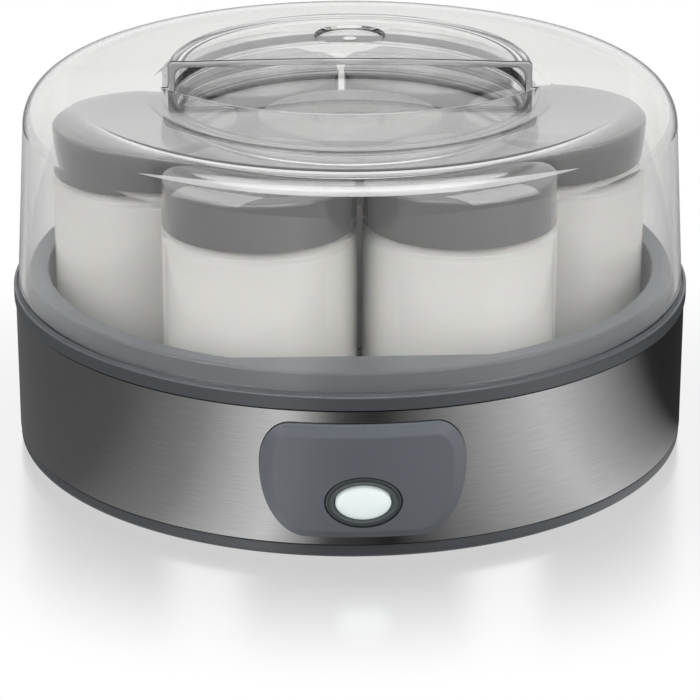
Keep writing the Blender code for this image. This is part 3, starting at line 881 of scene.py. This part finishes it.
def makeInlet():
    across = (inletHigh.x - inletLow.x) / 2.0
    up = (inletHigh.z - inletLow.z) / 2.0
    middle = (inletLow.z + inletHigh.z) / 2.0
    rings = []
    for inset, depth in [(1.9, 0.8), (0.9, 0.3), (0.0, 1.2), (0.0, 10.8), (0.4, 11.0)]:
        outline = [(0.0, middle + up - inset, 0), (across - inset, middle + up - inset, 2.6),
                   (across - inset, middle - up + inset, 2.6), (-across + inset, middle - up + inset, 2.6),
                   (-across + inset, middle + up - inset, 2.6)]
        points = evenly(softened(outline, 8, True), 64)
        rings.append([(point.x, inletHigh.y - depth, point.y) for point in points])
    hole = oval(2.6, 2.6, 64, (0.0, middle))
    rings.insert(0, [(point.x, inletHigh.y - 1.2, point.y) for point in hole])
    rings.insert(0, [(point.x, inletHigh.y - 10.8, point.y) for point in hole])
    pieceFrom("cordInlet", lofted(rings, True), materials["darkPart"], "base",
              ["cord_inlet"], 50.0)


def makeFoot(index):
    name = "foot_%d" % index
    low, high = nodeBox(name)
    radius = nodeRadius(name)
    corners = [(0.0, low.z, 0), (radius, low.z, 0.7), (radius, high.z, 0.2), (0.0, high.z, 0)]
    build = spun(softened(corners, 4), 48, nodeCentre(name))
    pieceFrom("rubberFoot_%d" % index, build, materials["rubber"], "base", [name])


hiddenParts = {"heater_plate": "sheet", "heating_cord": "heaterCord", "thermostat": "darkPart",
               "thermal_fuse": "ceramic", "terminal_block": "ceramic", "switch_body": "darkPart",
               "lamp_board": "board", "indicator_lamp": "button",
               "screw_1": "sheet", "screw_2": "sheet", "screw_3": "sheet", "screw_4": "sheet"}


def finishHiddenParts():
    for node, key in hiddenParts.items():
        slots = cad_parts[node].data.materials
        slots.clear()
        slots.append(materials[key])


makeBase()
makeBand()
makeHousing()
print("base built")
makePanel()
makeBezel()
makeButton()
makeInlet()
for footIndex in range(1, 5):
    makeFoot(footIndex)
finishHiddenParts()
print("panel and small parts built")
for jarName in jarNames:
    makeJar(jarName)
    makeYogurt(jarName)
    makeLid(jarName)
print("jars built")
makeCover()
makeCup()
print("cover built")


# Studio

studio = {"distance": 1.2, "azimuth": -2.1, "elevation": 21.5, "aim": 0.0289, "lens": 169.1,
          "worldLevel": 1.0, "floorGlow": 0.45, "floorMirror": 0.42, "mirrorRoughness": 0.2,
          "mirrorFade": (0.118, 0.215), "reflectionLevel": 1.4, "floorDrop": 0.00005, "floorSize": 6.0,
          "lightAim": (0.0, 0.0, 0.06), "sensor": 36.0, "nearClip": 0.01}
softboxes = [
    {"name": "leftBox", "place": (-1.1, -0.9, 0.8), "size": (0.7, 0.9), "power": 4.5},
    {"name": "rightBox", "place": (1.1, -0.9, 0.8), "size": (0.7, 0.9), "power": 5.2},
    {"name": "topBox", "place": (0.0, -0.25, 1.4), "size": (1.5, 1.0), "power": 19.0},
]
# bright and dark stretches that glossy surfaces see in place of the plain table, set for the band's shading,
# going round from the back by the left, front (0.5) and right
tableReflection = [(0.0, 0.55), (0.05, 0.4), (0.115, 0.12), (0.167, 0.1), (0.256, 0.11), (0.325, 0.12),
                   (0.39, 0.32), (0.45, 0.95), (0.482, 0.08), (0.516, 0.02), (0.56, 0.3), (0.635, 0.85),
                   (0.685, 0.45), (0.745, 0.02), (0.85, 0.02), (0.92, 0.3), (1.0, 0.55)]
# what surfaces see of the room, by how far the direction leans to the back
roomLight = [(0.0, 0.05), (0.4, 0.1), (0.7, 0.25), (0.9, 0.8), (1.0, 1.0)]


def greys(stops):
    return [(place, (level, level, level)) for place, level in stops]


def floorColour(tree, path, reach):
    # white to the eye, grey for soft light, and bright or dark stretches for what glossy surfaces see
    place = addNode(tree, "ShaderNodeSeparateXYZ")
    share = addNode(tree, "ShaderNodeMapRange")
    share.inputs["From Min"].default_value = -math.pi
    share.inputs["From Max"].default_value = math.pi
    tone = ramp(tree, greys(tableReflection))
    strong = addNode(tree, "ShaderNodeVectorMath", operation="SCALE")
    strong.inputs["Scale"].default_value = studio["reflectionLevel"]
    unlit = addNode(tree, "ShaderNodeMix", data_type="RGBA")
    unlit.inputs[6].default_value = (*[studio["floorGlow"]] * 3, 1.0)
    unlit.inputs[7].default_value = (1.0, 1.0, 1.0, 1.0)
    seen = addNode(tree, "ShaderNodeMix", data_type="RGBA")
    link = tree.links.new
    link(reach.inputs[0].links[0].from_socket, place.inputs["Vector"])
    link(reckon(tree, "ARCTAN2", place.outputs["X"], place.outputs["Y"]), share.inputs["Value"])
    link(share.outputs["Result"], tone.inputs["Fac"])
    link(tone.outputs["Color"], strong.inputs[0])
    through = path.outputs["Is Transmission Ray"]
    link(reckon(tree, "MAXIMUM", path.outputs["Is Camera Ray"], through), unlit.inputs[0])
    bounced = reckon(tree, "SUBTRACT", path.outputs["Is Glossy Ray"], through)
    bounced.node.use_clamp = True
    outside = reckon(tree, "GREATER_THAN", reach.outputs["Value"], nodeRadius("top_housing") * mm)
    link(reckon(tree, "MULTIPLY", bounced, outside), seen.inputs[0])
    link(unlit.outputs[2], seen.inputs[6])
    link(strong.outputs["Vector"], seen.inputs[7])
    return seen.outputs[2]


def floorMaterial():
    # the floor mirrors faintly near the object, and is clear from below
    material = bpy.data.materials.new("paleFloor")
    material.use_nodes = True
    tree = material.node_tree
    tree.nodes.clear()
    place = addNode(tree, "ShaderNodeTexCoord")
    turn = addNode(tree, "ShaderNodeVectorMath", operation="MULTIPLY")
    turn.inputs[1].default_value = (1.0, -1.0, 0.0)
    reach = addNode(tree, "ShaderNodeVectorMath", operation="LENGTH")
    path = addNode(tree, "ShaderNodeLightPath")
    glow = addNode(tree, "ShaderNodeEmission")
    mirror = addNode(tree, "ShaderNodeBsdfGlossy", Roughness=studio["mirrorRoughness"])
    fade = addNode(tree, "ShaderNodeMapRange", interpolation_type="SMOOTHSTEP")
    fade.inputs["From Min"].default_value, fade.inputs["From Max"].default_value = studio["mirrorFade"]
    fade.inputs["To Min"].default_value = studio["floorMirror"]
    fade.inputs["To Max"].default_value = 0.0
    side = addNode(tree, "ShaderNodeNewGeometry")
    below = addNode(tree, "ShaderNodeBsdfTransparent")
    mixer = addNode(tree, "ShaderNodeMixShader")
    chooser = addNode(tree, "ShaderNodeMixShader")
    output = addNode(tree, "ShaderNodeOutputMaterial")
    link = tree.links.new
    link(place.outputs["Object"], turn.inputs[0])
    link(turn.outputs["Vector"], reach.inputs[0])
    link(reach.outputs["Value"], fade.inputs["Value"])
    link(floorColour(tree, path, reach), glow.inputs["Color"])
    link(reckon(tree, "MULTIPLY", fade.outputs["Result"], path.outputs["Is Camera Ray"]), mixer.inputs["Fac"])
    link(glow.outputs["Emission"], mixer.inputs[1])
    link(mirror.outputs["BSDF"], mixer.inputs[2])
    link(side.outputs["Backfacing"], chooser.inputs["Fac"])
    link(mixer.outputs["Shader"], chooser.inputs[1])
    link(below.outputs["BSDF"], chooser.inputs[2])
    link(chooser.outputs["Shader"], output.inputs["Surface"])
    return material


def makeFloor():
    build = bmesh.new()
    bmesh.ops.create_grid(build, x_segments=2, y_segments=2, size=studio["floorSize"])
    bmesh.ops.translate(build, verts=build.verts, vec=(0.0, 0.0, -studio["floorDrop"]))
    mesh = bpy.data.meshes.new("paleFloor")
    build.to_mesh(mesh)
    build.free()
    mesh.materials.append(floorMaterial())
    floor = bpy.data.objects.new("paleFloor", mesh)
    bpy.context.collection.objects.link(floor)


def makeLights():
    for box in softboxes:
        light = bpy.data.lights.new(box["name"], "AREA")
        light.shape = "RECTANGLE"
        light.size, light.size_y = box["size"]
        light.energy = box["power"]
        lamp = bpy.data.objects.new(box["name"], light)
        bpy.context.collection.objects.link(lamp)
        lamp.location = box["place"]
        aim = Vector(studio["lightAim"]) - Vector(box["place"])
        lamp.rotation_euler = aim.to_track_quat("-Z", "Y").to_euler()


def makeWorld():
    world = bpy.data.worlds.new("studioWorld")
    world.use_nodes = True
    tree = world.node_tree
    background = tree.nodes["Background"]
    place = addNode(tree, "ShaderNodeTexCoord")
    parts = addNode(tree, "ShaderNodeSeparateXYZ")
    tone = ramp(tree, greys(roomLight))
    lean = addNode(tree, "ShaderNodeMapRange")
    lean.inputs["From Min"].default_value = -1.0
    lean.inputs["From Max"].default_value = 1.0
    path = addNode(tree, "ShaderNodeLightPath")
    direct = reckon(tree, "MAXIMUM", path.outputs["Is Camera Ray"], path.outputs["Is Transmission Ray"])
    mixer = addNode(tree, "ShaderNodeMix", data_type="RGBA")
    mixer.inputs[7].default_value = (1.0, 1.0, 1.0, 1.0)
    link = tree.links.new
    link(place.outputs["Generated"], parts.inputs["Vector"])
    link(parts.outputs["Y"], lean.inputs["Value"])
    link(lean.outputs["Result"], tone.inputs["Fac"])
    link(tone.outputs["Color"], mixer.inputs[6])
    link(direct, mixer.inputs[0])
    link(mixer.outputs[2], background.inputs["Color"])
    background.inputs["Strength"].default_value = studio["worldLevel"]
    bpy.context.scene.world = world


def makeCamera():
    azimuth = math.radians(studio["azimuth"])
    elevation = math.radians(studio["elevation"])
    aim = Vector((0.0, 0.0, studio["aim"]))
    back = Vector((math.sin(azimuth) * math.cos(elevation), -math.cos(azimuth) * math.cos(elevation),
                   math.sin(elevation)))
    lens = bpy.data.cameras.new("productCamera")
    lens.lens = studio["lens"]
    lens.sensor_width = studio["sensor"]
    lens.clip_start = studio["nearClip"]
    camera = bpy.data.objects.new("productCamera", lens)
    bpy.context.collection.objects.link(camera)
    camera.location = aim + back * studio["distance"]
    camera.rotation_euler = (-back).to_track_quat("-Z", "Y").to_euler()
    bpy.context.scene.camera = camera


makeFloor()
makeLights()
makeWorld()
makeCamera()
bpy.context.scene.view_settings.view_transform = "Standard"
print("studio ready")
